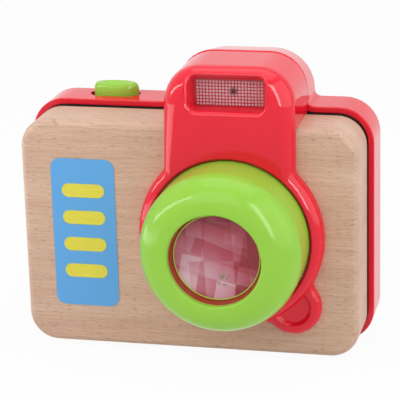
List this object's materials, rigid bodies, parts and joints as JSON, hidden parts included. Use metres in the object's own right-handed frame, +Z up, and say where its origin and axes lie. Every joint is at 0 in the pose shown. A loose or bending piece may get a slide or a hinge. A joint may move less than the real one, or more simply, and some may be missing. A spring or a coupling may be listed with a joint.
{
  "type": "toy camera",
  "caption": "Toy camera with a beech front block, moulded shell and flash housing, a turning domed lens ring with a faceted lens, and a sprung shutter button on top.",
  "frame": {"origin": "under the middle of the whole camera, on the plane of the rear shell's flat bottom", "axes": "+X to the right as seen from the lens side, -Y the way the lens looks, +Z up"},
  "size_m": [0.1346, 0.0738, 0.115],
  "materials": {
    "beech": "sanded, thin clear lacquer",
    "red_abs": "polished moulding",
    "black_abs": "fine matt moulding",
    "green_abs": "polished moulding",
    "clear_acrylic": "clear, flat polished facets",
    "zinc_steel": "bright zinc",
    "spring_steel": "drawn wire",
    "blue_print": "screen-printed ink",
    "yellow_print": "screen-printed ink"
  },
  "bodies": {
    "camera": {"wood_front_block": "beech", "front_bezel": "red_abs", "rear_shell": "red_abs", "view_tube": "red_abs", "eyepiece_retainer": "red_abs", "mid_frame": "black_abs", "flash_window": "clear_acrylic", "eyepiece_window": "clear_acrylic", "bezel_screws": "zinc_steel", "frame_screws": "zinc_steel", "shell_screws": "zinc_steel", "button_spring": "spring_steel", "panel_print": "blue_print", "panel_bars": "yellow_print"},
    "lens_group": {"lens_ring": "green_abs", "lens_barrel": "red_abs", "prism_lens": "clear_acrylic", "lens_retainer": "red_abs", "ring_keeper": "red_abs", "keeper_screws": "zinc_steel"},
    "shutter": {"shutter_button": "green_abs"}
  },
  "joints": [
    {"name": "lens_turn", "type": "hinge", "parent": "camera", "child": "lens_group", "pos_m": [0.01705, 0, 0.0496], "axis": [0, -1, 0], "continuous": true},
    {"name": "shutter_press", "type": "slide", "parent": "camera", "child": "shutter", "axis": [0, 0, -1], "range_m": [0, 0.003], "stiffness_N_per_m": 400, "springref_m": -0.003, "deforming": ["button_spring"]}
  ]
}
